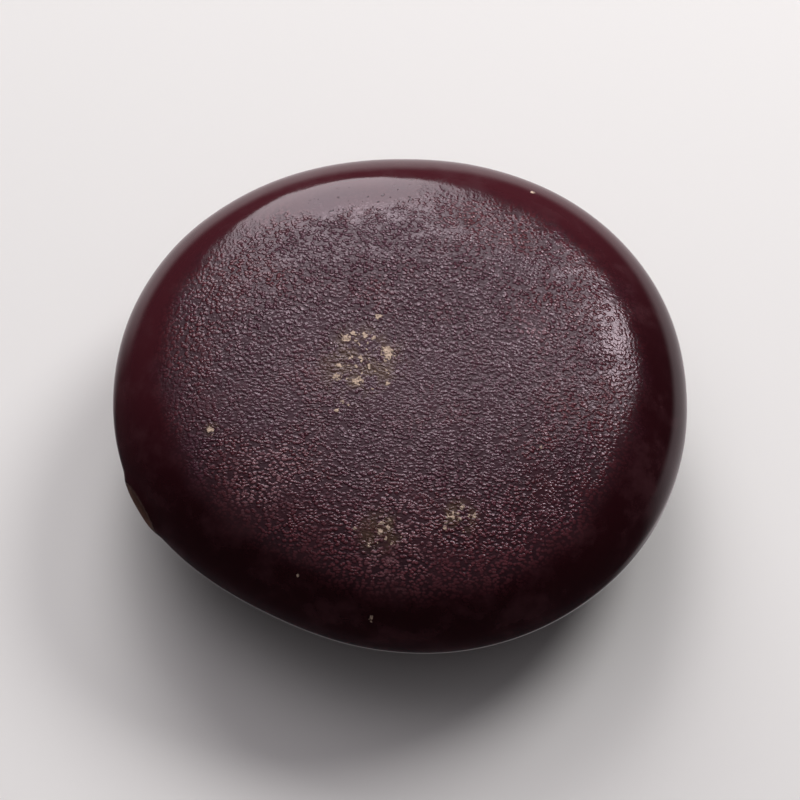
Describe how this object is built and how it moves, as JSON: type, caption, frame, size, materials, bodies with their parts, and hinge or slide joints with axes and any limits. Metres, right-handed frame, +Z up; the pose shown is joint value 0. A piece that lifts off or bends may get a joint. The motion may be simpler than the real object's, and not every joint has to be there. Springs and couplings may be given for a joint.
{
  "type": "african dream bean",
  "caption": "Large flattened round seed with a hard glossy dark red-brown coat, finely grained faces, a smooth rounded rim and an oval hilum scar on the rim.",
  "frame": {"origin": "on the surface that the seed rests on, under the middle of the seed's bounding box", "axes": "+Z up through the thickness, out of the upper face; +X along the longest way across the face"},
  "size_m": [0.05, 0.0472, 0.0178],
  "materials": {
    "seed_coat": "hard polished seed coat, dark red-brown, finely grained on the faces and glossy on the rim"
  },
  "bodies": {
    "root": {"seed": "seed_coat"}
  },
  "joints": []
}
